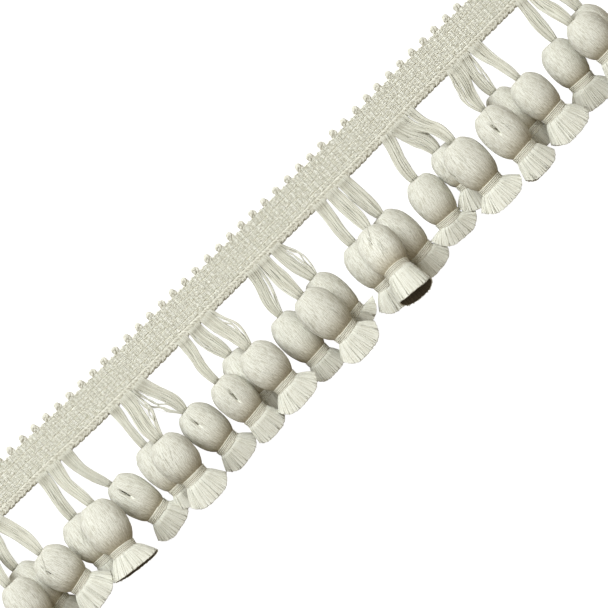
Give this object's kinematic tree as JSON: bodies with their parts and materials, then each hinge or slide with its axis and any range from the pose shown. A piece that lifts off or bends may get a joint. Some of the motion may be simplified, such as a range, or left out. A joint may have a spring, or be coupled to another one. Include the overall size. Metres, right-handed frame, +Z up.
{
  "type": "tassel fringe trim",
  "caption": "Cut length of cream tassel fringe: a ribbed picot-edged heading tape with floss skeins hanging in threes, each with an onion tassel bound at its neck.",
  "frame": {"origin": "middle of the heading tape's back face, on the surface that the trim lies on", "axes": "+X along the heading, +Y across it towards the picot edge, +Z up out of the face"},
  "size_m": [0.332, 0.0703, 0.0309],
  "materials": {
    "woven_heading": "ribbed weave of matt cream yarn",
    "floss": "satin cream floss laid side by side",
    "binding_thread": "wound cream thread with a soft shine"
  },
  "bodies": {
    "root": {"heading_tape": "woven_heading", "footing_braid": "floss", "tassel_1a": "floss", "tassel_1b": "floss", "tassel_1c": "floss", "tassel_2a": "floss", "tassel_2b": "floss", "tassel_2c": "floss", "tassel_3a": "floss", "tassel_3b": "floss", "tassel_3c": "floss", "tassel_4a": "floss", "tassel_4b": "floss", "tassel_4c": "floss", "tassel_5a": "floss", "tassel_5b": "floss", "tassel_5c": "floss", "tassel_6a": "floss", "tassel_6b": "floss", "tassel_6c": "floss", "tassel_7a": "floss", "tassel_7b": "floss", "tassel_7c": "floss", "tassel_8a": "floss", "tassel_8b": "floss", "tassel_8c": "floss", "tassel_9a": "floss", "tassel_9b": "floss", "tassel_9c": "floss", "binding_1a": "binding_thread", "binding_1b": "binding_thread", "binding_1c": "binding_thread", "binding_2a": "binding_thread", "binding_2b": "binding_thread", "binding_2c": "binding_thread", "binding_3a": "binding_thread", "binding_3b": "binding_thread", "binding_3c": "binding_thread", "binding_4a": "binding_thread", "binding_4b": "binding_thread", "binding_4c": "binding_thread", "binding_5a": "binding_thread", "binding_5b": "binding_thread", "binding_5c": "binding_thread", "binding_6a": "binding_thread", "binding_6b": "binding_thread", "binding_6c": "binding_thread", "binding_7a": "binding_thread", "binding_7b": "binding_thread", "binding_7c": "binding_thread", "binding_8a": "binding_thread", "binding_8b": "binding_thread", "binding_8c": "binding_thread", "binding_9a": "binding_thread", "binding_9b": "binding_thread", "binding_9c": "binding_thread"}
  },
  "joints": []
}
